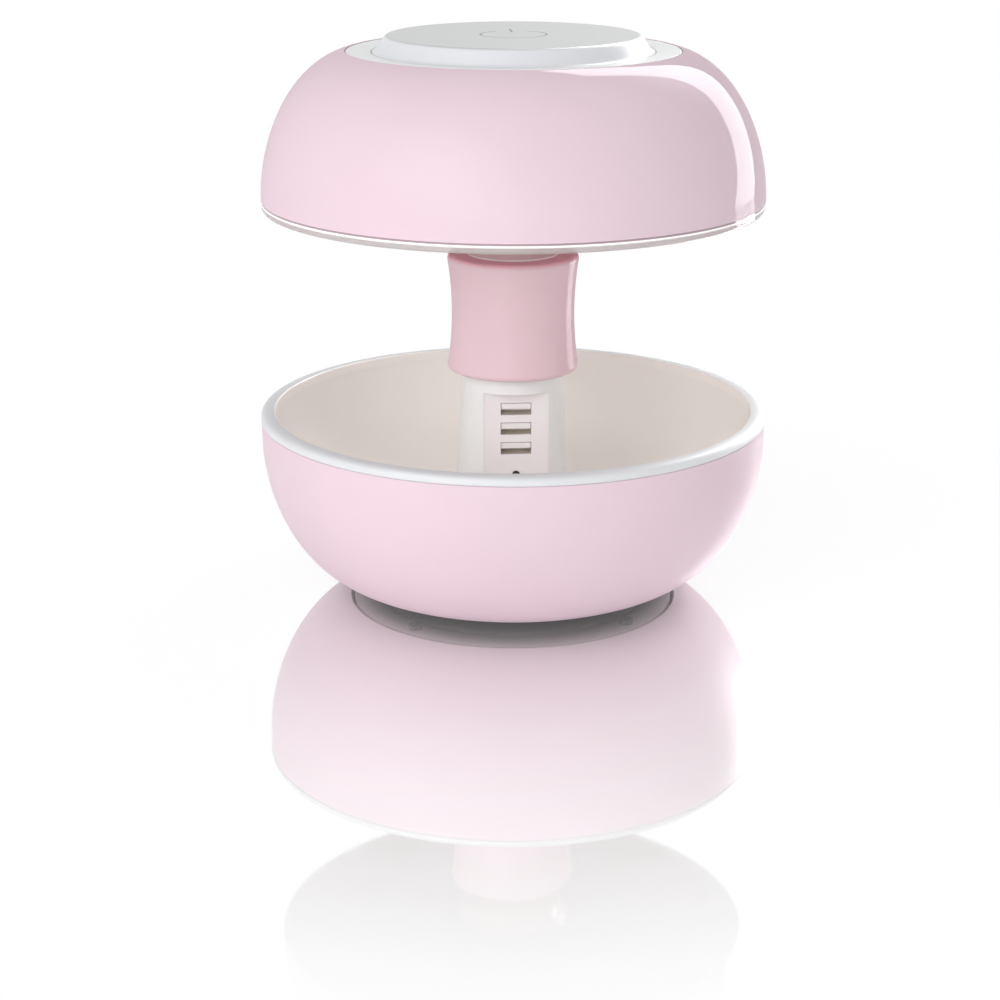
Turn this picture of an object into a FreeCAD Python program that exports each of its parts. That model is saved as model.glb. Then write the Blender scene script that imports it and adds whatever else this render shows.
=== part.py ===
"""Mushroom table lamp with a bowl base and three charging sockets, in millimetres.

The origin is on the floor under the lamp's axis, +Z is up and the sockets face -Y.
"""
import FreeCAD
import Part
import math
import os

# Bowl
bowl_radius = 103.0
bowl_height = 75.6
bowl_wall = 2.4
bowl_edge_band = 6.4
bowl_opening_height = 5.5
bowl_opening_slope = 17.0
rim_height = 3.7
rim_width = 5.85
rim_proud = 0.15
rim_bevel_width = 3.7
rim_bevel_height = 2.7
rim_inner_edge = 0.6
rim_groove_height = 0.35
rim_groove_depth = 0.5
liner_wall = 2.2
liner_gap = 0.3
tray_floor_height = 24.0

# Base
foot_thickness = 1.0
foot_width = 6.0
pan_radius = 54.2
pan_wall = 2.2
pan_floor = 1.2
pan_bevel = 3.0
base_flange = 2.4
base_gap = 0.9
flange_sink = 0.1
base_ledge = 13.8
ballast_gap = 6.0
ballast_thickness = 5.0
base_screw_count = 4
base_screw_angle = 45.0
cord_bore = 1.55
grommet_wall = 0.55
grommet_length = 4.4
grommet_gap = 0.1

# Column and charging panel
column_height = 76.0
column_foot_radius = 24.25
column_taper = 0.0535
column_wall = 2.4
column_deck = 3.0
flat_top_drop = 15.0
bevel_depth = 3.35
bevel_angle = 34.0
panel_margin = 0.4
panel_height = 54.0
panel_gap = 0.06
socket_count = 3
socket_pitch = 8.25
socket_width = 12.5
socket_height = 5.12
socket_wall = 0.3
socket_lip = 0.8
socket_depth = 10.0
top_socket_drop = 6.9
tongue_width = 11.9
tongue_thickness = 2.3
tongue_recess = 0.4
tongue_offset = 1.06
tongue_root = 3.0
contact_count = 4
contact_width = 1.1
contact_pitch = 2.3
contact_thickness = 0.2
indicator_radius = 1.6
indicator_drop = 11.2
led_size = (2.0, 1.2, 1.4)

# Sleeve, neck and stem
sleeve_height = 47.5
sleeve_overlap = 8.5
sleeve_wall = 3.9
sleeve_flare = 1.7
sleeve_corner = 2.2
sleeve_deck = 3.0
sleeve_gap = 0.35
neck_radius = 18.5
neck_height = 19.3
neck_wall = 2.2
neck_straight = 8.0
neck_flare = 14.0
flare_rise_share = 0.6
flare_run_share = 0.3
neck_rib_count = 8
neck_rib_depth = 4.0
neck_rib_width = 1.2
hub_thickness = 3.0
stem_radius = 4.0
stem_wall = 1.2
stem_gap = 0.15
board_to_stem = 0.6
stem_end = 1.5
nut_sides = 6
nut_wall = 2.6
nut_thickness = 4.5
washer_width = 5.0
washer_thickness = 1.5

# Shade and clear lens
shade_radius = 100.6
shade_rise = 57.6
shade_wall = 2.6
shade_top_slope = 12.5
shade_seat_gap = 0.1
ledge_thickness = 2.6
lens_thickness = 2.2
lip_height = 3.9
lip_wall = 2.2
lip_corner = 1.8
lip_inset = 0.1
side_fullness = 0.42
crown_fullness = 0.65

# Top ring, button and switch
ring_width = 10.6
ring_thickness = 2.0
ring_sink = 0.2
ring_gap = 0.3
ring_edge = 0.5
ring_dish = 0.4
button_radius = 55.7
button_rise = 6.0
button_gap = 0.3
button_wall = 2.4
button_lean = 4.2
button_flare = 1.2
button_edge = 1.2
button_travel = 2.0
button_stop = 1.5
stop_thickness = 1.9
post_radius = 4.0
ring_screw_count = 3
ring_screw_angle = 90.0
plate_screw_angle = 30.0
ring_boss_radius = 2.8
tray_wall = 2.0
tray_depth = 9.8
switch_width = 12.0
switch_height = 7.0
plunger_radius = 2.7
plunger_stroke = 4.0
spring_radius = 10.2
spring_wire = 1.2
running_gap = 0.3

# Light source
plate_post_length = 12.0
plate_post_circle = 40.0
plate_post_radius = 4.0
plate_thickness = 2.0
plate_radius = 70.0
led_board_thickness = 1.6
led_board_inner = 28.0
led_board_inset = 6.0
chip_count = 24
chip_inset = 14.0
chip_size = (3.5, 2.8, 0.8)
board_screw_inset = 6.0

# Circuit boards, wires and screws
board_thickness = 1.6
usb_board_width = 20.0
charger_part_inset = 2.0
charger_capacitor = (1.8, 7.0)
charger_coil = (3.6, 4.0, 8.0)
charger_chip = (3.6, 1.2, 5.0)
power_board_size = (40.0, 26.0)
power_board_centre = 31.0
power_board_drop = 8.2
board_boss_inset = 4.0
driver_coil = (10.0, 9.0, 6.0)
driver_coil_place = (-4.0, 4.0)
driver_capacitor = (3.2, 7.0)
driver_capacitor_place = (7.0, 4.0)
driver_chip = (5.0, 4.0, 1.2)
driver_chip_place = (-2.0, -5.0)
wire_radius = 0.8
wire_bend = 3.0
wire_hole_radius = 3.0
lead_spacing = 1.5
usb_lead_spacing = 1.0
lead_hole_inset = 2.0
lead_hole_gap = 6.0
lead_clearance = 1.0
screw_radius = 1.45
screw_head_radius = 2.75
screw_head_height = 1.9
screw_gap = 0.1
screw_clearance = 0.3
boss_radius = 3.6
base_screw_length = 12.0
ring_screw_length = 5.0
plate_screw_length = 9.0
board_screw_length = 3.2
power_screw_length = 7.0

# Heights above the floor, from the foot up
pan_bottom = foot_thickness
pan_top = pan_bottom + pan_floor
flange_bottom = bowl_opening_height + flange_sink
flange_top = flange_bottom + base_flange
rim_bottom = bowl_height - rim_height
tray_underside = tray_floor_height - liner_wall
column_top = tray_floor_height + column_height
sleeve_bottom = column_top - sleeve_overlap
sleeve_top = sleeve_bottom + sleeve_height
lens_bottom = sleeve_top + neck_height
lens_top = lens_bottom + lens_thickness
lip_top = lens_bottom + lip_height
shade_bottom = lip_top + shade_seat_gap
shade_top = shade_bottom + shade_rise
ring_top = shade_top - ring_sink
ledge_top = ring_top - ring_thickness
ledge_bottom = ledge_top - ledge_thickness
button_foot = ring_top - ring_dish
button_top = ring_top + button_rise
stop_top = ledge_top - running_gap
stop_bottom = stop_top - stop_thickness
tray_flange_bottom = ledge_bottom - tray_wall
tray_bottom = tray_flange_bottom - tray_depth
switch_floor = tray_bottom + tray_wall
plate_top = tray_bottom - plate_post_length
plate_bottom = plate_top - plate_thickness
led_board_bottom = plate_bottom - led_board_thickness
stem_top = plate_top + washer_thickness + nut_thickness + stem_end
stem_bottom = tray_underside - washer_thickness - nut_thickness - stem_end
hub_top = sleeve_top + neck_straight + hub_thickness
power_board_top = tray_underside - power_board_drop

# Radii and depths that follow from the fits
bowl_opening = pan_radius + base_ledge
flange_radius = bowl_opening - bowl_wall * math.sin(math.radians(bowl_opening_slope)) - base_gap
base_screw_circle = (pan_radius + flange_radius) / 2
tray_floor_radius = base_screw_circle + boss_radius / 2
ballast_radius = pan_radius - pan_wall - ballast_gap
shade_opening = button_radius + ring_width
led_board_outer = plate_radius - led_board_inset
chip_circle = led_board_outer - chip_inset
board_screw_circle = led_board_outer - board_screw_inset
stem_bore = stem_radius - stem_wall
washer_radius = stem_radius + washer_width
nut_across_flats = 2 * (stem_radius + nut_wall)
flat_distance = stem_radius + board_to_stem + board_thickness + socket_depth
bevel_distance = column_foot_radius - bevel_depth
bevel_lean = math.radians(bevel_angle)
flat_half_width = (bevel_distance - flat_distance * math.cos(bevel_lean)) / math.sin(bevel_lean)
panel_width = 2 * (flat_half_width - panel_margin)
sleeve_bore = column_foot_radius - column_taper * (column_height - sleeve_overlap) + sleeve_gap
sleeve_waist_radius = sleeve_bore + sleeve_wall
sleeve_end_radius = sleeve_waist_radius + sleeve_flare
liner_radius = bowl_radius - bowl_wall - liner_gap
tray_radius = liner_radius - liner_wall
ring_hole = button_radius + button_gap
tray_well = button_radius + button_stop + button_gap
ring_screw_circle = tray_well + ring_boss_radius
ledge_edge = ring_screw_circle + ring_boss_radius + ring_gap
button_face = button_radius - button_flare - button_lean
panel_front = -flat_distance
board_front = panel_front + socket_depth
board_back = board_front + board_thickness
shell_front = panel_front + socket_lip
tongue_front = board_front - tongue_root
flat_top = column_top - flat_top_drop
panel_top = flat_top - panel_gap
panel_bottom = panel_top - panel_height
socket_heights = [panel_top - top_socket_drop - socket_pitch * i for i in range(socket_count)]
indicator_height = socket_heights[-1] - indicator_drop

UP = FreeCAD.Vector(0, 0, 1)
FRONT_TO_BACK = FreeCAD.Vector(0, 1, 0)
CENTRE = FreeCAD.Vector(0, 0, 0)


def spin(*stretches):
    """Turn a closed outline of (radius, height) about Z: one point is a corner, four are a curve."""
    edges = []
    for stretch, following in zip(stretches, stretches[1:] + stretches[:1]):
        points = [FreeCAD.Vector(r, 0, z) for r, z in stretch]
        if len(points) > 1:
            curve = Part.BezierCurve()
            curve.setPoles(points)
            edges.append(curve.toShape())
        target = FreeCAD.Vector(following[0][0], 0, following[0][1])
        if points[-1].distanceToPoint(target) > 1e-6:
            edges.append(Part.LineSegment(points[-1], target).toShape())
    return Part.Face(Part.Wire(edges)).revolve(CENTRE, UP, 360)


def disc(radius, bottom, top, x=0.0, y=0.0):
    return Part.makeCylinder(radius, top - bottom, FreeCAD.Vector(x, y, bottom), UP)


def ring(inner, outer, bottom, top, x=0.0, y=0.0):
    return disc(outer, bottom, top, x, y).cut(disc(inner, bottom, top, x, y))


def rod(radius, front, back, x, z):
    """A round bar that runs from front to back."""
    return Part.makeCylinder(radius, back - front, FreeCAD.Vector(x, front, z), FRONT_TO_BACK)


def block(x_range, y_range, z_range):
    size = [high - low for low, high in (x_range, y_range, z_range)]
    corner = FreeCAD.Vector(x_range[0], y_range[0], z_range[0])
    return Part.makeBox(size[0], size[1], size[2], corner)


def span(centre, width):
    return (centre - width / 2, centre + width / 2)


def circle_points(count, radius, first_angle):
    """Points spaced evenly on a circle, as (x, y)."""
    angles = [math.radians(first_angle + 360.0 * i / count) for i in range(count)]
    return [(radius * math.cos(a), radius * math.sin(a)) for a in angles]


def cut_all(shape, tools):
    for tool in tools:
        shape = shape.cut(tool)
    return shape


def fuse_all(shape, additions):
    for addition in additions:
        shape = shape.fuse(addition)
    return shape.removeSplitter()


def screw(x, y, seat, length):
    """A pan-head screw driven upwards, with its head under the seat."""
    head = disc(screw_head_radius, seat - screw_head_height, seat, x, y)
    return head.fuse(disc(screw_radius, seat, seat + length, x, y)).removeSplitter()


def wire(points):
    """A round wire along straight runs joined by arcs."""
    corners = [FreeCAD.Vector(*p) for p in points]
    edges = []
    start = corners[0]
    for before, corner, after in zip(corners, corners[1:], corners[2:]):
        arriving = (corner - before).normalize()
        leaving = (after - corner).normalize()
        entry = corner - arriving * wire_bend
        leave = corner + leaving * wire_bend
        middle = corner + (leaving - arriving) * wire_bend * (1 - math.sqrt(0.5))
        edges.append(Part.LineSegment(start, entry).toShape())
        edges.append(Part.Arc(entry, middle, leave).toShape())
        start = leave
    edges.append(Part.LineSegment(start, corners[-1]).toShape())
    path = Part.Wire(edges)
    first_run = (corners[1] - corners[0]).normalize()
    section = Part.Wire(Part.makeCircle(wire_radius, corners[0], first_run))
    return path.makePipeShell([section], True, False)


def dome_curve(side, top, slope, turn):
    """A smooth wall from a vertical start at side to an end at top that slopes by so many degrees."""
    rise = top[1] - side[1]
    run = side[0] - top[0]
    lean = math.radians(slope)
    reach = crown_fullness * run
    return [
        side,
        (side[0], side[1] + side_fullness * rise),
        (top[0] + reach * math.cos(lean), top[1] - turn * reach * math.sin(lean)),
        top,
    ]


def rounded(start, corner, end):
    """A curve from start to end that rounds off the corner between them."""
    def towards_corner(point):
        return tuple(p + (c - p) * 2 / 3 for p, c in zip(point, corner))

    return [start, towards_corner(start), towards_corner(end), end]


def bowl_shell():
    lean = math.radians(bowl_opening_slope)
    edge = rim_bottom - bowl_edge_band
    outer_end = (bowl_opening, bowl_opening_height)
    inner_end = (
        bowl_opening - bowl_wall * math.sin(lean),
        bowl_opening_height + bowl_wall * math.cos(lean),
    )
    outer = dome_curve((bowl_radius, edge), outer_end, bowl_opening_slope, -1)
    inner = dome_curve((bowl_radius - bowl_wall, edge), inner_end, bowl_opening_slope, -1)
    return spin(
        [(bowl_radius, rim_bottom)], outer, inner[::-1], [(bowl_radius - bowl_wall, rim_bottom)]
    )


def rim_ring():
    """A ring over the edges of shell and liner, with a broad round outside and a groove over the shell."""
    outer = bowl_radius + rim_proud
    inner = outer - rim_width
    groove = outer - rim_groove_depth
    groove_top = rim_bottom + rim_groove_height
    outside = rounded((outer, bowl_height - rim_bevel_height), (outer, bowl_height),
                      (outer - rim_bevel_width, bowl_height))
    inside = rounded((inner + rim_inner_edge, bowl_height), (inner, bowl_height),
                     (inner, bowl_height - rim_inner_edge))
    return spin(
        [(inner, rim_bottom)], [(groove, rim_bottom)], [(groove, groove_top)], [(outer, groove_top)],
        outside, inside,
    )


def power_boss_points():
    half_width = power_board_size[0] / 2 - board_boss_inset
    half_depth = power_board_size[1] / 2 - board_boss_inset
    return [(x, power_board_centre + y) for x in (-half_width, half_width) for y in (-half_depth, half_depth)]


def lead_hole_place():
    """Where the charger's leads pass through the tray's floor, as (x, y)."""
    return (usb_board_width / 2 - lead_hole_inset, stem_radius + wire_hole_radius + lead_hole_gap)


def base_screw_points():
    return circle_points(base_screw_count, base_screw_circle, base_screw_angle)


def bowl_liner():
    edge = rim_bottom - bowl_edge_band
    inner = dome_curve((tray_radius, edge), (tray_floor_radius, tray_floor_height), 0, -1)
    outer = dome_curve((liner_radius, edge), (tray_floor_radius, tray_underside), 0, -1)
    hole = stem_radius + stem_gap
    body = spin(
        [(tray_radius, rim_bottom)], inner, [(hole, tray_floor_height)], [(hole, tray_underside)],
        outer[::-1], [(liner_radius, rim_bottom)],
    )
    buried = tray_underside + liner_wall / 2
    pilot = screw_radius + screw_gap
    base_bosses = base_screw_points()
    bosses = [disc(boss_radius, flange_top, buried, x, y) for x, y in base_bosses]
    bosses += [disc(boss_radius, power_board_top, buried, x, y) for x, y in power_boss_points()]
    pilots = [disc(pilot, flange_top, tray_underside, x, y) for x, y in base_bosses]
    pilots += [disc(pilot, power_board_top, tray_underside, x, y) for x, y in power_boss_points()]
    lead_x, lead_y = lead_hole_place()
    lead_hole = disc(wire_hole_radius, tray_underside, tray_floor_height, lead_x, lead_y)
    return cut_all(fuse_all(body, bosses), pilots + [lead_hole])


def grommet_height():
    return pan_top + cord_bore + grommet_wall + grommet_gap


def base_plate():
    inner = pan_radius - pan_wall
    body = spin(
        [(0, pan_bottom)], [(pan_radius - pan_bevel, pan_bottom)], [(pan_radius, pan_bottom + pan_bevel)],
        [(pan_radius, flange_bottom)], [(flange_radius, flange_bottom)], [(flange_radius, flange_top)],
        [(inner, flange_top)], [(inner, pan_bottom + pan_bevel)],
        [(inner - pan_bevel + pan_floor, pan_top)], [(0, pan_top)],
    )
    clear = screw_radius + screw_clearance
    holes = [disc(clear, flange_bottom, flange_top, x, y) for x, y in base_screw_points()]
    bush = cord_bore + grommet_wall + grommet_gap
    cord_way = rod(bush, inner - pan_wall, flange_radius, 0, grommet_height())
    return cut_all(body, holes + [cord_way])


def cord_grommet():
    front = pan_radius - grommet_length
    outer = rod(cord_bore + grommet_wall, front, pan_radius, 0, grommet_height())
    return outer.cut(rod(cord_bore, front, pan_radius, 0, grommet_height()))


def foot_ring():
    outer = pan_radius - pan_bevel
    return ring(outer - foot_width, outer, 0, foot_thickness)


def ballast_plate():
    """A steel disc, cut away at the back to leave room under the driver board."""
    body = disc(ballast_radius, pan_top, pan_top + ballast_thickness)
    board_edge = power_board_centre - power_board_size[1] / 2
    room = block(span(0, 2 * ballast_radius), (board_edge - screw_head_radius, ballast_radius),
                 (pan_top, pan_top + ballast_thickness))
    return body.cut(room)


def column_form(inset, bottom, top, flats_top):
    """The tapered column with a front flat and two bevels beside it, drawn in by the inset."""
    def radius_at(height):
        return column_foot_radius - column_taper * (height - tray_floor_height) - inset

    body = spin([(0, bottom)], [(radius_at(bottom), bottom)], [(radius_at(top), top)], [(0, top)])
    reach = 2 * column_foot_radius
    sides = span(0, 2 * reach)
    front = block(sides, (-reach, -flat_distance + inset), (bottom, flats_top))
    body = body.cut(front)
    for angle in (-bevel_angle, bevel_angle):
        bevel = block(sides, (-reach, -bevel_distance + inset), (bottom, top))
        bevel.rotate(CENTRE, UP, angle)
        body = body.cut(bevel)
    return body


def column_shell():
    outside = column_form(0, tray_floor_height, column_top, flat_top)
    deck_bottom = column_top - column_deck
    inside = column_form(column_wall, tray_floor_height, deck_bottom, deck_bottom)
    window = block(span(0, panel_width), (panel_front, panel_front + column_wall), (panel_bottom, flat_top))
    stem_hole = disc(stem_radius + stem_gap, deck_bottom, column_top)
    return cut_all(outside, [inside, window, stem_hole])


def usb_panel():
    width = panel_width - 2 * panel_gap
    heights = (panel_bottom + panel_gap, panel_top)
    body = block(span(0, width), (panel_front, panel_front + column_wall), heights)
    back = panel_front + column_wall
    pocket_width = socket_width + 2 * (socket_wall + panel_gap)
    pocket_height = socket_height + 2 * (socket_wall + panel_gap)
    holes = [rod(indicator_radius + panel_gap, panel_front, back, 0, indicator_height)]
    for z in socket_heights:
        holes.append(block(span(0, socket_width), (panel_front, back), span(z, socket_height)))
        holes.append(block(span(0, pocket_width), (shell_front, back), span(z, pocket_height)))
    return cut_all(body, holes)


def usb_shell(height):
    depth = (shell_front, board_front)
    outer_width = socket_width + 2 * socket_wall
    outer_height = socket_height + 2 * socket_wall
    outside = block(span(0, outer_width), depth, span(height, outer_height))
    return outside.cut(block(span(0, socket_width), depth, span(height, socket_height)))


def usb_tongue(height):
    back_width = socket_width - 2 * panel_gap
    back_height = socket_height - 2 * panel_gap
    back = block(span(0, back_width), (tongue_front, board_front), span(height, back_height))
    tongue_depth = (panel_front + tongue_recess, board_front)
    tongue = block(span(0, tongue_width), tongue_depth, span(height + tongue_offset, tongue_thickness))
    return back.fuse(tongue).removeSplitter()


def usb_contact_set(height):
    underside = height + tongue_offset - tongue_thickness / 2
    depth = (shell_front + tongue_recess, tongue_front)
    first = -contact_pitch * (contact_count - 1) / 2
    heights = (underside - contact_thickness, underside)
    places = [first + contact_pitch * i for i in range(contact_count)]
    return [block(span(x, contact_width), depth, heights) for x in places]


def usb_board():
    bottom = panel_bottom + column_wall
    return block(span(0, usb_board_width), (board_front, board_back), (bottom, panel_top))


def board_parts():
    """Two capacitors, a coil and a chip on the back of the charger's board, beside the stem."""
    side = usb_board_width / 2 - charger_part_inset
    radius, length = charger_capacitor
    capacitors = [rod(radius, board_back, board_back + length, x, socket_heights[-1]) for x in (-side, side)]
    blocks = []
    for x, (width, depth, height) in ((-side, charger_coil), (side, charger_chip)):
        depths = (board_back, board_back + depth)
        blocks.append(block(span(x, width), depths, span(socket_heights[0], height)))
    return capacitors + blocks


def led_front():
    return board_front - led_size[1]


def indicator_lens():
    return rod(indicator_radius, panel_front, led_front() - panel_gap, 0, indicator_height)


def indicator_led():
    return block(span(0, led_size[0]), (led_front(), board_front), span(indicator_height, led_size[2]))


def sleeve():
    """A spool: wide at both ends, drawn in at the waist, with a deck that rests on the column."""
    corner = sleeve_corner
    end = sleeve_end_radius
    low, high = sleeve_bottom, sleeve_top
    pull = (4 * sleeve_waist_radius - end) / 3
    third = (high - low - 2 * corner) / 3
    bore = sleeve_bore
    hole = stem_radius + stem_gap
    upper_deck = high - sleeve_deck
    foot = rounded((end - corner, low), (end, low), (end, low + corner))
    waist = [(end, low + corner), (pull, low + corner + third),
             (pull, high - corner - third), (end, high - corner)]
    shoulder = rounded((end, high - corner), (end, high), (end - corner, high))
    return spin(
        [(bore, low)], foot, waist, shoulder,
        [(hole, high)], [(hole, upper_deck)], [(bore, upper_deck)],
        [(bore, column_top + sleeve_deck)], [(hole, column_top + sleeve_deck)],
        [(hole, column_top)], [(bore, column_top)],
    )


def lens_dish():
    """The clear cover under the shade: a ribbed neck that flares into a plate with a raised lip."""
    neck_inner = neck_radius - neck_wall
    bend = sleeve_top + neck_straight
    flare_end = neck_radius + neck_flare
    rise = lens_bottom - bend
    steep = bend + flare_rise_share * rise
    shallow = flare_run_share * neck_flare
    under = [(neck_radius, bend), (neck_radius, steep),
             (neck_radius + shallow, lens_bottom), (flare_end, lens_bottom)]
    over = [(flare_end, lens_top), (neck_inner + shallow, lens_top),
            (neck_inner, steep), (neck_inner, bend)]
    outer = shade_radius - lip_inset
    lip_curve = rounded((outer - lip_corner, lens_bottom), (outer, lens_bottom),
                        (outer, lens_bottom + lip_corner))
    body = spin(
        [(neck_radius, sleeve_top)], under, lip_curve, [(outer, lip_top)], [(outer - lip_wall, lip_top)],
        [(outer - lip_wall, lens_top)], over, [(neck_inner, sleeve_top)],
    )
    hub = ring(stem_radius + stem_gap, neck_inner + neck_wall / 2, hub_top - hub_thickness, hub_top)
    ribs = []
    for i in range(neck_rib_count):
        rib_depth = (neck_inner - neck_rib_depth, neck_inner + neck_wall / 2)
        rib = block(rib_depth, span(0, neck_rib_width), (sleeve_top, hub_top - hub_thickness / 2))
        rib.rotate(CENTRE, UP, 360.0 * (i + 0.5) / neck_rib_count)
        ribs.append(rib)
    return fuse_all(body, [hub] + ribs)


def stem_tube():
    return ring(stem_bore, stem_radius, stem_bottom, stem_top)


def nut_seats():
    """The height of the washer's lower face and the nut's side of each clamped piece: 1 above, -1 below."""
    return [(tray_underside, -1), (hub_top, 1), (plate_bottom, -1), (plate_top, 1)]


def stem_washer(seat, side):
    low, high = sorted((seat, seat + side * washer_thickness))
    return ring(stem_radius + stem_gap, washer_radius, low, high)


def stem_nut(seat, side):
    low, high = sorted((seat + side * washer_thickness, seat + side * (washer_thickness + nut_thickness)))
    corner_radius = nut_across_flats / math.sqrt(3)
    corners = [FreeCAD.Vector(x, y, low) for x, y in circle_points(nut_sides, corner_radius, 0)]
    prism = Part.Face(Part.makePolygon(corners + corners[:1])).extrude(UP * (high - low))
    return prism.cut(disc(stem_radius + stem_gap, low, high))


def shade_shell():
    outer = dome_curve((shade_radius, shade_bottom), (shade_opening, shade_top), shade_top_slope, 1)
    inner_end = (shade_opening, ledge_bottom)
    inner = dome_curve((shade_radius - shade_wall, shade_bottom), inner_end, shade_top_slope, 1)
    return spin(
        outer, [(shade_opening, ledge_top)],
        [(ledge_edge, ledge_top)], [(ledge_edge, ledge_bottom)], inner[::-1],
    )


def ring_screw_points():
    return circle_points(ring_screw_count, ring_screw_circle, ring_screw_angle)


def top_ring():
    outer = shade_opening - ring_gap
    edge = rounded((outer, ring_top - ring_edge), (outer, ring_top), (outer - ring_edge, ring_top))
    body = spin([(ring_hole, ledge_top)], [(outer, ledge_top)], edge, [(ring_hole, button_foot)])
    bosses = [disc(ring_boss_radius, ledge_bottom, ring_top - ring_thickness / 2, x, y)
              for x, y in ring_screw_points()]
    pilots = [disc(screw_radius + screw_gap, ledge_bottom, ledge_top + ring_thickness / 2, x, y)
              for x, y in ring_screw_points()]
    return cut_all(fuse_all(body, bosses), pilots)


def top_button():
    """A hollow disc with a flared flank, a stop flange under the ring and a post over the switch."""
    inner = button_face - button_wall
    ceiling = button_top - button_wall
    slope = button_lean / (button_top - button_foot)
    corner = button_radius - button_flare
    flare = rounded((button_radius, button_foot), (corner, button_foot),
                    (corner - slope * button_flare, button_foot + button_flare))
    edge = rounded((button_face + slope * button_edge, button_top - button_edge),
                   (button_face, button_top), (button_face - button_edge, button_top))
    plunger_top = switch_floor + switch_height + plunger_stroke
    return spin(
        [(0, plunger_top)], [(post_radius, plunger_top)], [(post_radius, ceiling)], [(inner, ceiling)],
        [(inner, stop_bottom)], [(button_radius + button_stop, stop_bottom)],
        [(button_radius + button_stop, stop_top)], [(button_radius, stop_top)],
        flare, edge, [(0, button_top)],
    )


def plate_post_points():
    return circle_points(ring_screw_count, plate_post_circle, plate_screw_angle)


def switch_tray():
    """A pan under the ring: its flange clamps the shade's ledge and its posts stand on the head plate."""
    outer = tray_well + tray_wall
    flange = shade_opening - ring_gap
    pan = spin(
        [(0, tray_bottom)], [(outer, tray_bottom)],
        [(outer, tray_flange_bottom)], [(flange, tray_flange_bottom)],
        [(flange, ledge_bottom)], [(tray_well, ledge_bottom)],
        [(tray_well, switch_floor)], [(0, switch_floor)],
    )
    posts = [disc(plate_post_radius, plate_top, tray_bottom + tray_wall / 2, x, y)
             for x, y in plate_post_points()]
    pilots = [disc(screw_radius + screw_gap, plate_top, tray_bottom, x, y) for x, y in plate_post_points()]
    holes = [disc(screw_radius + screw_clearance, tray_flange_bottom, ledge_bottom, x, y)
             for x, y in ring_screw_points()]
    heads = [disc(screw_head_radius + screw_clearance, tray_bottom, tray_flange_bottom, x, y)
             for x, y in ring_screw_points()]
    return cut_all(fuse_all(pan, posts), pilots + holes + heads)


def switch_body():
    heights = (switch_floor, switch_floor + switch_height)
    body = block(span(0, switch_width), span(0, switch_width), heights)
    return body.cut(disc(plunger_radius + running_gap, switch_floor + running_gap, heights[1]))


def switch_plunger():
    low = switch_floor + button_travel + 2 * running_gap
    return disc(plunger_radius, low, switch_floor + switch_height + plunger_stroke)


def button_spring():
    end_gap = running_gap / 2
    heights = (switch_floor + end_gap, button_top - button_wall - end_gap)
    return ring(spring_radius - spring_wire, spring_radius, heights[0], heights[1])


def board_screw_points():
    return circle_points(ring_screw_count, board_screw_circle, 0)


def lead_drop():
    """How far behind the axis the lamp's leads go down through the head plate."""
    return led_board_inner + wire_hole_radius + wire_radius + lead_hole_inset


def head_plate():
    body = ring(stem_radius + stem_gap, plate_radius, plate_bottom, plate_top)
    points = plate_post_points()
    clearance = [disc(screw_radius + screw_clearance, plate_bottom, plate_top, x, y) for x, y in points]
    pilots = [disc(screw_radius + screw_gap, plate_bottom, plate_top, x, y) for x, y in board_screw_points()]
    lead_hole = disc(wire_hole_radius + wire_radius, plate_bottom, plate_top, 0, lead_drop())
    return cut_all(body, clearance + pilots + [lead_hole])


def led_board():
    body = ring(led_board_inner, led_board_outer, led_board_bottom, plate_bottom)
    head_room = screw_head_radius + screw_clearance
    heads = [disc(head_room, led_board_bottom, plate_bottom, x, y) for x, y in plate_post_points()]
    shanks = [disc(screw_radius + screw_clearance, led_board_bottom, plate_bottom, x, y)
              for x, y in board_screw_points()]
    return cut_all(body, heads + shanks)


def led_chips():
    chips = []
    width, depth, height = chip_size
    for i in range(chip_count):
        chip = block(span(chip_circle, depth), span(0, width), (led_board_bottom - height, led_board_bottom))
        chip.rotate(CENTRE, UP, 360.0 * (i + 0.5) / chip_count)
        chips.append(chip)
    return chips


def power_board():
    width, depth = power_board_size
    heights = (power_board_top - board_thickness, power_board_top)
    body = block(span(0, width), span(power_board_centre, depth), heights)
    clear = screw_radius + screw_clearance
    return cut_all(body, [disc(clear, heights[0], heights[1], x, y) for x, y in power_boss_points()])


def power_parts():
    """A coil, a capacitor and a chip on the driver board."""
    low = power_board_top
    blocks = []
    for place, size in ((driver_coil_place, driver_coil), (driver_chip_place, driver_chip)):
        x, y = place
        width, depth, height = size
        blocks.append(block(span(x, width), span(power_board_centre + y, depth), (low, low + height)))
    x, y = driver_capacitor_place
    radius, height = driver_capacitor
    return blocks + [disc(radius, low, low + height, x, power_board_centre + y)]


def lamp_leads():
    """Two wires from the driver board, up through the stem and down to the light board."""
    edge = power_board_centre - power_board_size[1] / 2
    low = power_board_top - board_thickness / 2
    high = stem_top + wire_radius + lead_clearance
    leads = []
    for x in (-lead_spacing, lead_spacing):
        leads.append(wire([(x, edge, low), (x, 0, low), (x, 0, high), (x, lead_drop(), high),
                           (x, lead_drop(), plate_bottom)]))
    return leads


def usb_leads():
    """Two wires from the driver board, through the tray's floor, to the charger's board."""
    x, y = lead_hole_place()
    edge = power_board_centre - power_board_size[1] / 2
    low = power_board_top - board_thickness / 2
    high = tray_floor_height + 3 * wire_bend
    return [wire([(x + s, edge, low), (x + s, y, low), (x + s, y, high), (x + s, board_back, high)])
            for s in (-usb_lead_spacing, usb_lead_spacing)]


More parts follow.
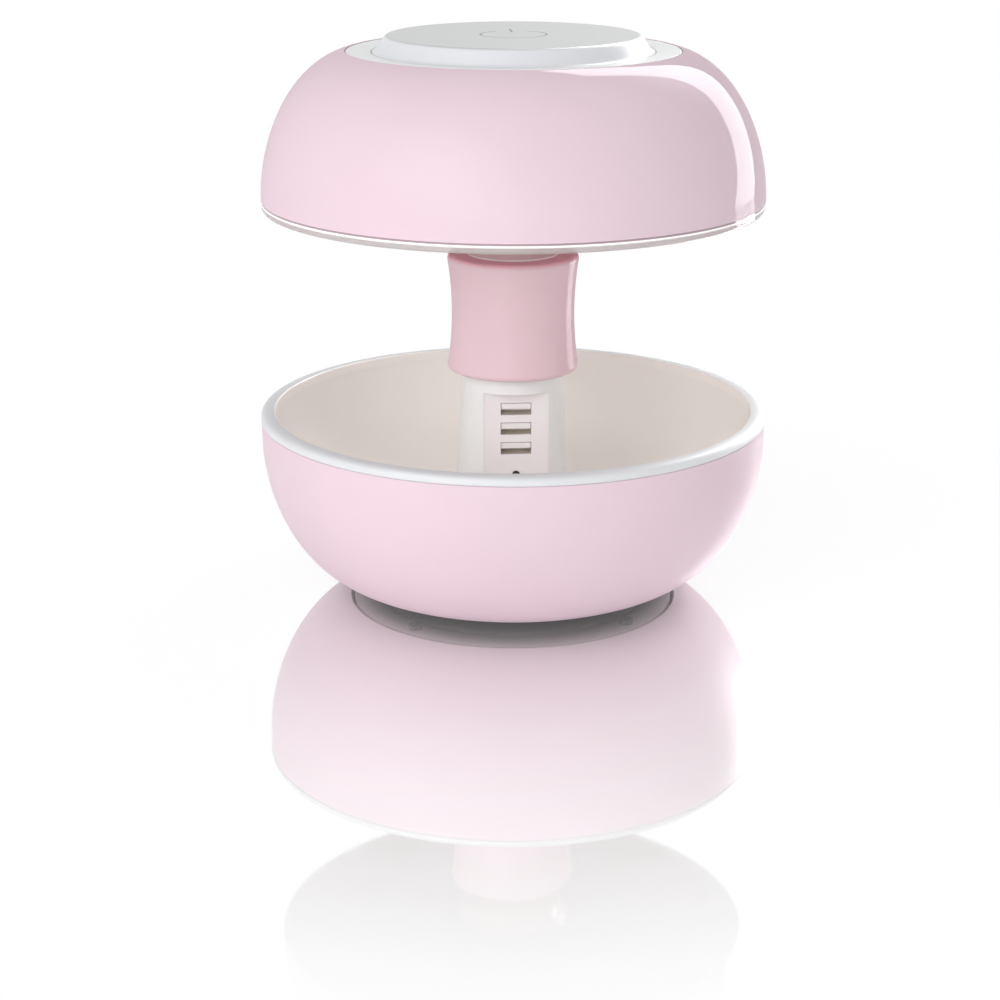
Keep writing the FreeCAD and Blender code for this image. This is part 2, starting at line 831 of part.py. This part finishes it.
def screws():
    """Each set of screws by name."""
    sets = {
        "base_screws": (base_screw_points(), flange_bottom, base_screw_length),
        "ring_screws": (ring_screw_points(), tray_flange_bottom, ring_screw_length),
        "plate_screws": (plate_post_points(), plate_bottom, plate_screw_length),
        "board_screws": (board_screw_points(), led_board_bottom, board_screw_length),
        "power_screws": (power_boss_points(), power_board_top - board_thickness, power_screw_length),
    }
    return {name: [screw(x, y, seat, length) for x, y in points]
            for name, (points, seat, length) in sets.items()}


def build():
    seats = nut_seats()
    nodes = {
        "bowl_shell": [bowl_shell()],
        "rim_ring": [rim_ring()],
        "bowl_liner": [bowl_liner()],
        "base_plate": [base_plate()],
        "foot_ring": [foot_ring()],
        "ballast_plate": [ballast_plate()],
        "cord_grommet": [cord_grommet()],
        "column_shell": [column_shell()],
        "usb_panel": [usb_panel()],
        "usb_shells": [usb_shell(z) for z in socket_heights],
        "usb_tongues": [usb_tongue(z) for z in socket_heights],
        "usb_contacts": [strip for z in socket_heights for strip in usb_contact_set(z)],
        "usb_board": [usb_board()],
        "board_parts": board_parts(),
        "indicator_lens": [indicator_lens()],
        "indicator_led": [indicator_led()],
        "sleeve": [sleeve()],
        "lens_dish": [lens_dish()],
        "stem_tube": [stem_tube()],
        "stem_washers": [stem_washer(seat, side) for seat, side in seats],
        "stem_nuts": [stem_nut(seat, side) for seat, side in seats],
        "shade_shell": [shade_shell()],
        "top_ring": [top_ring()],
        "top_button": [top_button()],
        "switch_tray": [switch_tray()],
        "switch_body": [switch_body()],
        "switch_plunger": [switch_plunger()],
        "button_spring": [button_spring()],
        "head_plate": [head_plate()],
        "led_board": [led_board()],
        "led_chips": led_chips(),
        "power_board": [power_board()],
        "power_parts": power_parts(),
        "lamp_leads": lamp_leads(),
        "usb_leads": usb_leads(),
    }
    nodes.update(screws())
    return nodes


def export(nodes):
    os.makedirs("parts", exist_ok=True)
    for name, solids in nodes.items():
        whole = solids[0] if len(solids) == 1 else Part.makeCompound(solids)
        whole.exportStep(os.path.join("parts", name + ".step"))
        print(name, len(whole.Solids), "solids", round(whole.Volume, 1), "mm3", whole.isValid())


export(build())
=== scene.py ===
import bpy
import math
from mathutils import Matrix, Vector


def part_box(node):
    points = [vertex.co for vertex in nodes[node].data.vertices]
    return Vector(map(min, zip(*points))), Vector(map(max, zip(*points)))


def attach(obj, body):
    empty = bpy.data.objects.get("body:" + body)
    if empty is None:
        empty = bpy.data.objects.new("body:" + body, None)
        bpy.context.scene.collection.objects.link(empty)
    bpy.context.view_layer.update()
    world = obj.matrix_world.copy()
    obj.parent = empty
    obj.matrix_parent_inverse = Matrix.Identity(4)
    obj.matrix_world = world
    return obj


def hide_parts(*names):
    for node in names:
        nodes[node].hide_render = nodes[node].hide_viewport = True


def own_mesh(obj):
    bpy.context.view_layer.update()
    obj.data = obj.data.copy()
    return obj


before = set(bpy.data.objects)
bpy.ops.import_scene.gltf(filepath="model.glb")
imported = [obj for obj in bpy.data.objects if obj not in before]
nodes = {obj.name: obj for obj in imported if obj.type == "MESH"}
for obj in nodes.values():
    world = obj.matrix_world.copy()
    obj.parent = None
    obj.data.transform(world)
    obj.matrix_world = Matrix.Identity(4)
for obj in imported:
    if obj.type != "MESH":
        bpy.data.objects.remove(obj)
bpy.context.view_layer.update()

# Camera of the photograph: places in metres, angles in degrees, lens and sensor in millimetres
camera_distance = 0.9051
camera_height = 0.3225
camera_aside = -0.0053
camera_turn = -4.3
camera_tilt = 72.334
camera_lens = 81.97
camera_sensor = 36.0

# Colours, in linear values
pink_gloss = (0.75, 0.59, 0.66)
pink_sleeve = (0.82, 0.60, 0.66)
pink_satin = (0.76, 0.60, 0.67)
# Deeper pink painted on the sleeve's shoulder as painted shade under the lamp's head
shoulder_shade_pink = (0.96, 0.54, 0.62)
pearl = (0.70, 0.71, 0.73)
ring_pearl = (0.70, 0.71, 0.71)
# The button's upturned face painted darker as painted shade, and its flank paler as painted light
cap_face_shade = (0.50, 0.51, 0.51)
flank_painted_light = (0.70, 0.71, 0.74)
mark_grey = (0.10, 0.10, 0.11)
clear_grey = (0.60, 0.56, 0.55)
clear_pink = (0.56, 0.42, 0.44)
# Dark line painted on the lens's lip as the shadow under the pink shell's edge
shadow_line_grey = (0.40, 0.30, 0.33)
# Pink painted on the clear neck, standing in for the sleeve seen through it
neck_refracted_pink = (0.85, 0.60, 0.61)
# White of the painted highlights on the lens's lip and neck foot, which also glow
glint_white = (1.0, 0.98, 0.98)
tray_white = (0.97, 0.93, 0.89)
column_white = (0.86, 0.86, 0.86)
panel_white = (0.90, 0.85, 0.87)
tongue_white = (0.88, 0.83, 0.85)
base_white = (0.78, 0.76, 0.77)
# The base's underside painted dark as a shadow, going to pink at its edge
base_pink = (0.78, 0.64, 0.68)
base_painted_shadow = (0.06, 0.05, 0.05)
screw_black = (0.10, 0.10, 0.10)
rubber_black = (0.03, 0.03, 0.03)
part_black = (0.02, 0.02, 0.022)
smoke_grey = (0.03, 0.03, 0.035)
board_green = (0.02, 0.12, 0.05)
board_white = (0.82, 0.82, 0.80)
chip_yellow = (0.85, 0.62, 0.12)
wire_grey = (0.30, 0.30, 0.31)
socket_steel = (0.86, 0.80, 0.72)
contact_brass = (0.85, 0.66, 0.32)
plain_steel = (0.55, 0.55, 0.56)
spring_steel = (0.60, 0.60, 0.62)
plate_aluminium = (0.80, 0.80, 0.81)
floor_white = (0.9, 0.9, 0.9)
pure_white = (1.0, 1.0, 1.0)

# Range that most of a noise lies in
noise_range = (0.3, 0.7)

# Drift of a moulding's colour and gloss: patches per metre, the darkest share, and the swing of roughness
colour_patches = 14.0
gloss_patches = 60.0
dark_share = 0.97
gloss_swing = 0.03

# Grain of satin and rough finishes: bumps per metre and depths in metres
satin_grain = 1400.0
satin_depth = 0.000004
rough_depth = 0.00001

# Working marks in metal: the darkest share, and the swing of roughness
mark_dark_share = 0.85
mark_swing = (0.7, 1.4)

# Glossy pink's lacquer: strength, roughness and refractive index, and the gloss of the plastic under it
gloss_coat = 0.12
coat_roughness = 0.04
gloss_index = 2.0
gloss_specular = 0.0
satin_specular = 0.06

# Radii, in metres, between the rim's wall, painted the liner's paler tone as light against its shade, and its
# top, and between the base's underside, painted dark as a shadow, and its edge
rim_wall = (0.0974, 0.0980)
base_shadow_band = (0.0520, 0.0725)

# Bands, in metres below their tops, where light and shade are painted: the button's face, the sleeve's
# shoulder, and the lens's lip and neck
button_face = (0.0001, 0.0007)
shoulder_band = (0.0008, 0.0016)
lip_shadow = (0.0005, 0.0009)
lip_glint = (0.0010, 0.0018)
neck_band = (0.0045, 0.0075)

# Clear lens: reach of the painted highlight line at the neck's foot in metres, patches per metre, and
# strengths, lip_glow being the glow of the painted highlights
neck_line = 0.0006
cloud_patches = 25.0
clear_alpha = 0.6
lip_solid = 0.4
lip_glow = 0.15
clear_roughness = (0.03, 0.09)
clear_specular = 0.3

# Power symbol on the button, in metres
mark_radius = 0.013
mark_line = 0.0009
mark_gap = 0.0058
mark_bar = 0.012

# Coil spring under the button: wire in metres, turns, and steps in a turn
spring_wire = 0.0012
spring_turns = 5
spring_steps = 32

# Studio: the height that the lamps face, in metres, levels of light, and a softbox's strength at its middle
lamp_middle = 0.12
horizon_level = 0.86
zenith_level = 0.44
softbox_peak = 3.0

# Floor: width in metres, mirrored shares for camera, gloss and other rays, and where it fades, in metres
floor_size = 8.0
floor_mirror = 0.8
floor_gloss = 0.55
floor_sheen = 0.28
floor_glow = 0.25
floor_fade = (0.10, 0.38)
floor_roughness = 0.5
mirror_roughness = 0.03


def opaque(colour):
    return (*colour, 1.0)


def darker(colour, share):
    return tuple(channel * share for channel in colour)


def new_material(name):
    """A node material, with its tree and its shader."""
    material = bpy.data.materials.new(name)
    material.use_nodes = True
    tree = material.node_tree
    return material, tree, tree.nodes["Principled BSDF"]


def texture_place(tree):
    """Object coordinates, which stay with the piece."""
    return tree.nodes.new("ShaderNodeTexCoord").outputs["Object"]


def axes(tree):
    """The three object coordinates."""
    parts = tree.nodes.new("ShaderNodeSeparateXYZ")
    tree.links.new(texture_place(tree), parts.inputs["Vector"])
    return parts.outputs["X"], parts.outputs["Y"], parts.outputs["Z"]


def maths(tree, operation, first, second):
    """A Math node on two values, each a number or another node's output."""
    node = tree.nodes.new("ShaderNodeMath")
    node.operation = operation
    for socket, value in zip(node.inputs, (first, second)):
        if isinstance(value, (int, float)):
            socket.default_value = value
        else:
            tree.links.new(value, socket)
    return node.outputs[0]


def noise(tree, scale, detail=3.0):
    node = tree.nodes.new("ShaderNodeTexNoise")
    node.inputs["Scale"].default_value = scale
    node.inputs["Detail"].default_value = detail
    tree.links.new(texture_place(tree), node.inputs["Vector"])
    return node.outputs["Fac"]


def between(tree, source, low, high):
    """A noise's range spread over low to high."""
    node = tree.nodes.new("ShaderNodeMapRange")
    node.inputs["From Min"].default_value = noise_range[0]
    node.inputs["From Max"].default_value = noise_range[1]
    node.inputs["To Min"].default_value = low
    node.inputs["To Max"].default_value = high
    tree.links.new(source, node.inputs["Value"])
    return node.outputs["Result"]


def ramp(tree, source, low, high):
    """A smooth rise from 0 to 1 as the source goes from low to high."""
    node = tree.nodes.new("ShaderNodeMapRange")
    node.interpolation_type = "SMOOTHSTEP"
    node.inputs["From Min"].default_value = low
    node.inputs["From Max"].default_value = high
    tree.links.new(source, node.inputs["Value"])
    return node.outputs["Result"]


def near(tree, value, target, reach):
    """1 where the value is within reach of the target, and 0 elsewhere."""
    distance = maths(tree, "ABSOLUTE", maths(tree, "SUBTRACT", value, target), 0.0)
    return maths(tree, "LESS_THAN", distance, reach)


def radius(tree):
    """The distance from the lamp's upright axis."""
    x, y, _ = axes(tree)
    squares = maths(tree, "ADD", maths(tree, "MULTIPLY", x, x), maths(tree, "MULTIPLY", y, y))
    return maths(tree, "SQRT", squares, 0.0)


def height_below(tree, node, first, second):
    """A ramp from 1 to 0 between two depths under a node's top."""
    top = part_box(node)[1].z
    return ramp(tree, axes(tree)[2], top - second, top - first)


def tinted(tree, source, first, second):
    """A colour that drifts between two shades with a noise."""
    node = tree.nodes.new("ShaderNodeValToRGB")
    for element, place, colour in zip(node.color_ramp.elements, noise_range, (first, second)):
        element.position = place
        element.color = opaque(colour)
    tree.links.new(source, node.inputs["Fac"])
    return node.outputs["Color"]


def blend(tree, factor, first, second):
    """A colour between first and second, either of them a colour or another node's output."""
    mix = tree.nodes.new("ShaderNodeMix")
    mix.data_type = "RGBA"
    sockets = [socket for socket in mix.inputs if socket.enabled]
    tree.links.new(factor, sockets[0])
    for socket, value in zip(sockets[1:], (first, second)):
        if isinstance(value, tuple):
            socket.default_value = opaque(value)
        else:
            tree.links.new(value, socket)
    return [socket for socket in mix.outputs if socket.enabled][0]


def mix_shaders(tree, factor, first, second):
    mix = tree.nodes.new("ShaderNodeMixShader")
    tree.links.new(factor, mix.inputs["Fac"])
    tree.links.new(first, mix.inputs[1])
    tree.links.new(second, mix.inputs[2])
    return mix.outputs["Shader"]


def bump(tree, source, shader, depth):
    """Raise the surface by the source, depth in metres."""
    node = tree.nodes.new("ShaderNodeBump")
    node.inputs["Strength"].default_value = 1.0
    node.inputs["Distance"].default_value = depth
    tree.links.new(source, node.inputs["Height"])
    tree.links.new(node.outputs["Normal"], shader.inputs["Normal"])


def moulded_plastic(name, colour, roughness, grain_depth=0.0, coat=0.0, specular=0.5):
    """Moulded plastic: colour and gloss drift slightly, and a satin finish has a fine grain."""
    material, tree, shader = new_material(name)
    tint = tinted(tree, noise(tree, colour_patches), darker(colour, dark_share), colour)
    tree.links.new(tint, shader.inputs["Base Color"])
    smoothest = roughness * (1 - gloss_swing)
    roughest = roughness * (1 + gloss_swing)
    tree.links.new(between(tree, noise(tree, gloss_patches), smoothest, roughest), shader.inputs["Roughness"])
    if grain_depth > 0.0:
        bump(tree, noise(tree, satin_grain, detail=2.0), shader, grain_depth)
    shader.inputs["Specular IOR Level"].default_value = specular
    shader.inputs["Coat Weight"].default_value = coat
    shader.inputs["Coat Roughness"].default_value = coat_roughness
    shader.inputs["Coat IOR"].default_value = gloss_index
    return material


def tree_of(material):
    """A moulded plastic's tree, its shader and the colour that it has so far."""
    tree = material.node_tree
    shader = tree.nodes["Principled BSDF"]
    return tree, shader, shader.inputs["Base Color"].links[0].from_socket


def power_mark(tree):
    """A plain power symbol printed on the button's top: an open ring and a bar."""
    x, y, z = axes(tree)
    ring = near(tree, radius(tree), mark_radius, mark_line / 2)
    gap = maths(tree, "MULTIPLY", near(tree, x, 0.0, mark_gap), maths(tree, "GREATER_THAN", y, 0.0))
    open_ring = maths(tree, "MULTIPLY", ring, maths(tree, "SUBTRACT", 1.0, gap))
    bar_width = near(tree, x, 0.0, mark_line / 2)
    bar = maths(tree, "MULTIPLY", bar_width, near(tree, y, mark_radius, mark_bar / 2))
    mark = maths(tree, "MAXIMUM", open_ring, bar)
    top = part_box("top_button")[1].z
    return maths(tree, "MULTIPLY", mark, near(tree, z, top, mark_line / 2))


def marked_plastic(name, colour, roughness):
    """The button's plastic: a face painted darker as shade, with the power symbol printed on it, and a flank
    painted paler as light.
    """
    material = moulded_plastic(name, colour, roughness)
    tree, shader, face = tree_of(material)
    whole = blend(tree, height_below(tree, "top_button", *button_face), flank_painted_light, face)
    tree.links.new(blend(tree, power_mark(tree), whole, mark_grey), shader.inputs["Base Color"])
    return material


def shaded_plastic(name, colour, painted_shade_tone, roughness, node):
    """Glossy plastic whose shoulder at its node's top is painted a deeper colour as shade, and loses its
    lacquer there.
    """
    material = moulded_plastic(name, colour, roughness, coat=gloss_coat, specular=gloss_specular)
    tree, shader, plain = tree_of(material)
    shoulder = height_below(tree, node, *shoulder_band)
    tree.links.new(blend(tree, shoulder, plain, painted_shade_tone), shader.inputs["Base Color"])
    open_side = maths(tree, "SUBTRACT", 1.0, shoulder)
    tree.links.new(maths(tree, "MULTIPLY", open_side, gloss_coat), shader.inputs["Coat Weight"])
    return material


def ringed_plastic(name, inside, outside, roughness, band):
    """Moulded plastic that goes from one colour inside a band of radii to another outside it."""
    material = moulded_plastic(name, outside, roughness)
    tree, shader, plain = tree_of(material)
    tree.links.new(blend(tree, ramp(tree, radius(tree), *band), inside, plain), shader.inputs["Base Color"])
    return material


def metal(name, colour, roughness, grain, share=1.0):
    """Bare metal with fine working marks, or metal dulled by its plating where its share is below 1."""
    material, tree, shader = new_material(name)
    marks = noise(tree, grain, detail=4.0)
    tree.links.new(tinted(tree, marks, darker(colour, mark_dark_share), colour), shader.inputs["Base Color"])
    smoothest, roughest = (roughness * swing for swing in mark_swing)
    tree.links.new(between(tree, marks, smoothest, roughest), shader.inputs["Roughness"])
    shader.inputs["Metallic"].default_value = share
    return material


def clear_plastic(name, node):
    """Clear acrylic, cloudy in places, with painted light and shade: a painted shadow line under the shade's
    edge, painted highlights on its lip and at its neck's foot that also glow, and a neck painted pink for the
    sleeve seen through it.
    """
    material, tree, shader = new_material(name)
    tree.links.new(between(tree, noise(tree, gloss_patches, detail=2.0), *clear_roughness),
                   shader.inputs["Roughness"])
    shadow = height_below(tree, node, *lip_shadow)
    glint = maths(tree, "SUBTRACT", height_below(tree, node, *lip_glint), shadow)
    cloudy = tinted(tree, noise(tree, cloud_patches), clear_pink, clear_grey)
    plate = blend(tree, height_below(tree, node, *neck_band), neck_refracted_pink, cloudy)
    foot = near(tree, axes(tree)[2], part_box("sleeve")[1].z, neck_line)
    bright = maths(tree, "MAXIMUM", foot, glint)
    lined = blend(tree, shadow, plate, shadow_line_grey)
    tree.links.new(blend(tree, bright, lined, glint_white), shader.inputs["Base Color"])
    solid = maths(tree, "MULTIPLY", maths(tree, "ADD", glint, shadow), lip_solid)
    tree.links.new(maths(tree, "ADD", solid, clear_alpha), shader.inputs["Alpha"])
    shader.inputs["Emission Color"].default_value = opaque(glint_white)
    tree.links.new(maths(tree, "MULTIPLY", bright, lip_glow), shader.inputs["Emission Strength"])
    shader.inputs["Specular IOR Level"].default_value = clear_specular
    return material


def paint(material, *names):
    """Give CAD nodes a material on every slot."""
    for name in names:
        mesh = nodes[name].data
        mesh.materials.clear()
        mesh.materials.append(material)
        for face in mesh.polygons:
            face.material_index = 0


def coil(low, high):
    """A helix of wire that fills the space between two corners of a box."""
    curve = bpy.data.curves.new("spring_path", "CURVE")
    curve.dimensions = "3D"
    curve.bevel_depth = spring_wire / 2
    curve.use_fill_caps = True
    path = curve.splines.new("POLY")
    path.points.add(spring_turns * spring_steps)
    turn_radius = high.x - spring_wire / 2
    start = low.z + spring_wire / 2
    rise = high.z - low.z - spring_wire
    for number, point in enumerate(path.points):
        share = number / (spring_turns * spring_steps)
        angle = 2 * math.pi * spring_turns * share
        point.co = (turn_radius * math.cos(angle), turn_radius * math.sin(angle), start + rise * share, 1.0)
    return bpy.data.meshes.new_from_object(bpy.data.objects.new("spring_path", curve))


def add_spring(material):
    """The button's coil spring, which on the real lamp shortens as the button goes down, drawn as a helix in
    place of the plain CAD spring.
    """
    low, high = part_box("button_spring")
    spring = bpy.data.objects.new("coil_spring", coil(low, high))
    bpy.context.scene.collection.objects.link(spring)
    spring.data.materials.append(material)
    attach(spring, "lamp")
    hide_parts("button_spring")
    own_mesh(spring)


def feather(lamp):
    """Let a lamp fade out from its middle to its edges, as a softbox's cloth does."""
    lamp.use_nodes = True
    tree = lamp.node_tree
    place = tree.nodes.new("ShaderNodeNewGeometry").outputs["Parametric"]
    distance = tree.nodes.new("ShaderNodeVectorMath")
    distance.operation = "DISTANCE"
    distance.inputs[1].default_value = (0.5, 0.5, 0.0)
    tree.links.new(place, distance.inputs[0])
    fade = ramp(tree, distance.outputs["Value"], 0.5, 0.0)
    tree.links.new(maths(tree, "MULTIPLY", fade, softbox_peak), tree.nodes["Emission"].inputs["Strength"])


def around(azimuth, elevation, distance):
    """A place round the lamp: azimuth 0 is the camera's side and 90 the right."""
    turn = math.radians(azimuth)
    lift = math.radians(elevation)
    flat = distance * math.cos(lift)
    return Vector((flat * math.sin(turn), -flat * math.cos(turn), lamp_middle + distance * math.sin(lift)))


def face_lamp(holder, lean):
    """Turn a lamp at its place towards the middle of the object, its top leaning sideways."""
    aim = Vector((0.0, 0.0, lamp_middle)) - holder.location
    upright = aim.to_track_quat("-Z", "Y").to_matrix()
    holder.rotation_euler = (upright @ Matrix.Rotation(math.radians(lean), 3, "Z")).to_euler()


def add_light(name, place, size, power, soft=True, lights_matt=True, lean=0.0):
    """A rectangular softbox that faces the object; without lights_matt it is seen in gloss alone."""
    lamp = bpy.data.lights.new(name, "AREA")
    lamp.shape = "RECTANGLE"
    lamp.size, lamp.size_y = size
    lamp.energy = power
    if soft:
        feather(lamp)
    holder = bpy.data.objects.new(name, lamp)
    holder.location = place
    holder.visible_diffuse = lights_matt
    face_lamp(holder, lean)
    bpy.context.scene.collection.objects.link(holder)


def add_camera():
    data = bpy.data.cameras.new("photo_camera")
    data.lens = camera_lens
    data.sensor_width = camera_sensor
    camera = bpy.data.objects.new("photo_camera", data)
    turn = Matrix.Rotation(math.radians(camera_turn), 3, "Z")
    camera.location = turn @ Vector((camera_aside, -camera_distance, camera_height))
    camera.rotation_euler = (math.radians(camera_tilt), 0.0, math.radians(camera_turn))
    bpy.context.scene.collection.objects.link(camera)
    bpy.context.scene.camera = camera


def shown(tree, path):
    """1 for what the camera sees directly, in gloss or through glass."""
    outside = maths(tree, "MAXIMUM", path.outputs["Is Camera Ray"], path.outputs["Is Transmission Ray"])
    return maths(tree, "MAXIMUM", outside, path.outputs["Is Glossy Ray"])


def mirrored_share(tree, path):
    """How much of the floor is mirror: most for the camera, less for gloss and least for other rays."""
    to_camera = maths(tree, "MULTIPLY", path.outputs["Is Camera Ray"], floor_mirror - floor_sheen)
    to_gloss = maths(tree, "MULTIPLY", path.outputs["Is Glossy Ray"], floor_gloss - floor_sheen)
    return maths(tree, "ADD", maths(tree, "ADD", to_camera, to_gloss), floor_sheen)


def floor_material():
    """Polished white that fades to plain white, for the camera, away from the object."""
    material, tree, shader = new_material("floor_white")
    path = tree.nodes.new("ShaderNodeLightPath")
    shader.inputs["Base Color"].default_value = opaque(floor_white)
    shader.inputs["Roughness"].default_value = floor_roughness
    shader.inputs["Specular IOR Level"].default_value = 0.0
    shader.inputs["Emission Color"].default_value = opaque(pure_white)
    glow = maths(tree, "MULTIPLY", shown(tree, path), floor_glow)
    tree.links.new(glow, shader.inputs["Emission Strength"])
    mirror = tree.nodes.new("ShaderNodeBsdfGlossy")
    mirror.inputs["Color"].default_value = opaque(pure_white)
    mirror.inputs["Roughness"].default_value = mirror_roughness
    polished = mix_shaders(tree, mirrored_share(tree, path), shader.outputs["BSDF"], mirror.outputs["BSDF"])
    distance = tree.nodes.new("ShaderNodeVectorMath")
    distance.operation = "LENGTH"
    tree.links.new(texture_place(tree), distance.inputs[0])
    fade = ramp(tree, distance.outputs["Value"], *floor_fade)
    away = maths(tree, "MULTIPLY", fade, path.outputs["Is Camera Ray"])
    white = tree.nodes.new("ShaderNodeEmission").outputs["Emission"]
    tree.links.new(mix_shaders(tree, away, polished, white), tree.nodes["Material Output"].inputs["Surface"])
    return material


def add_floor():
    bpy.ops.mesh.primitive_plane_add(size=floor_size)
    floor = bpy.context.object
    floor.name = "floor"
    floor.data.materials.append(floor_material())


def add_world():
    """White for what the camera, gloss and glass see; the light itself is weaker from overhead."""
    world = bpy.data.worlds.new("studio")
    bpy.context.scene.world = world
    world.use_nodes = True
    tree = world.node_tree
    background = tree.nodes["Background"]
    background.inputs["Color"].default_value = opaque(pure_white)
    direction = tree.nodes.new("ShaderNodeSeparateXYZ")
    tree.links.new(tree.nodes.new("ShaderNodeTexCoord").outputs["Generated"], direction.inputs["Vector"])
    level = tree.nodes.new("ShaderNodeMapRange")
    level.inputs["To Min"].default_value = horizon_level
    level.inputs["To Max"].default_value = zenith_level
    tree.links.new(direction.outputs["Z"], level.inputs["Value"])
    seen = shown(tree, tree.nodes.new("ShaderNodeLightPath"))
    unseen = maths(tree, "MULTIPLY", level.outputs["Result"], maths(tree, "SUBTRACT", 1.0, seen))
    tree.links.new(maths(tree, "ADD", unseen, seen), background.inputs["Strength"])


# Pieces that show
paint(moulded_plastic("shade_pink", pink_gloss, roughness=0.10, coat=gloss_coat, specular=gloss_specular),
      "shade_shell")
# The sleeve's shoulder is painted a deeper pink as shade
paint(shaded_plastic("sleeve_pink", pink_sleeve, shoulder_shade_pink, roughness=0.12, node="sleeve"), "sleeve")
paint(moulded_plastic("bowl_pink", pink_satin, roughness=0.42, grain_depth=satin_depth,
                      specular=satin_specular), "bowl_shell")
# The rim's inner wall is painted in the liner's paler tone, painted light against the shade it sits in
paint(ringed_plastic("pearl_white", tray_white, pearl, roughness=0.5, band=rim_wall), "rim_ring")
paint(moulded_plastic("ring_white", ring_pearl, roughness=0.42), "top_ring")
# The button's face is painted darker and its flank paler, as painted shade and light
paint(marked_plastic("button_white", cap_face_shade, roughness=0.32), "top_button")
paint(moulded_plastic("liner_white", tray_white, roughness=0.45, grain_depth=satin_depth), "bowl_liner")
paint(moulded_plastic("column_white", column_white, roughness=0.3), "column_shell")
paint(moulded_plastic("panel_white", panel_white, roughness=0.35), "usb_panel")
# The base's underside is painted dark as a painted contact shadow
paint(ringed_plastic("base_pink", base_painted_shadow, base_pink, roughness=0.5, band=base_shadow_band), "base_plate")
# The lens carries a painted shadow line, glowing painted highlights and a neck painted pink
paint(clear_plastic("clear_lens", "lens_dish"), "lens_dish")
paint(moulded_plastic("tongue_white", tongue_white, roughness=0.4), "usb_tongues", "switch_plunger")
paint(moulded_plastic("indicator_smoke", smoke_grey, roughness=0.1), "indicator_lens")
paint(moulded_plastic("foot_rubber", rubber_black, roughness=0.7, grain_depth=rough_depth),
      "foot_ring", "cord_grommet")
paint(metal("socket_steel", socket_steel, roughness=0.4, grain=700.0, share=0.4), "usb_shells")
paint(metal("contact_brass", contact_brass, roughness=0.2, grain=900.0), "usb_contacts")
paint(metal("black_steel", screw_black, roughness=0.5, grain=500.0), "base_screws")

# Pieces inside
paint(moulded_plastic("tray_plastic", base_white, roughness=0.4, grain_depth=satin_depth), "switch_tray")
paint(moulded_plastic("part_black", part_black, roughness=0.5, grain_depth=rough_depth),
      "board_parts", "power_parts", "switch_body")
paint(moulded_plastic("circuit_board", board_green, roughness=0.35, grain_depth=satin_depth),
      "usb_board", "power_board")
paint(moulded_plastic("led_white", board_white, roughness=0.4, grain_depth=satin_depth), "led_board")
paint(moulded_plastic("chip_yellow", chip_yellow, roughness=0.3), "led_chips", "indicator_led")
paint(moulded_plastic("wire_grey", wire_grey, roughness=0.5, grain_depth=satin_depth),
      "lamp_leads", "usb_leads")
paint(metal("plain_steel", plain_steel, roughness=0.35, grain=500.0), "ballast_plate", "stem_tube",
      "stem_washers", "stem_nuts", "ring_screws", "plate_screws", "board_screws", "power_screws")
paint(metal("plate_aluminium", plate_aluminium, roughness=0.35, grain=400.0), "head_plate")
add_spring(metal("spring_steel", spring_steel, roughness=0.3, grain=800.0))

# Studio, with lamp sizes in metres and powers in watts
add_camera()
add_floor()
add_world()
add_light("key_softbox", around(-40, 32, 1.6), size=(2.4, 1.8), power=12.0)
add_light("fill_softbox", around(-24, 12, 1.7), size=(2.6, 1.6), power=8.0)
add_light("back_softbox", around(138, 38, 1.5), size=(1.2, 1.2), power=6.0)
add_light("shine_softbox", around(-40, 32, 1.6), size=(1.3, 1.0), power=13.0, lights_matt=False)
add_light("strip_softbox", around(134.5, 20, 1.3), size=(0.46, 2.0), power=40.0, soft=False,
          lights_matt=False, lean=-34.0)

bpy.context.scene.view_settings.view_transform = "Standard"
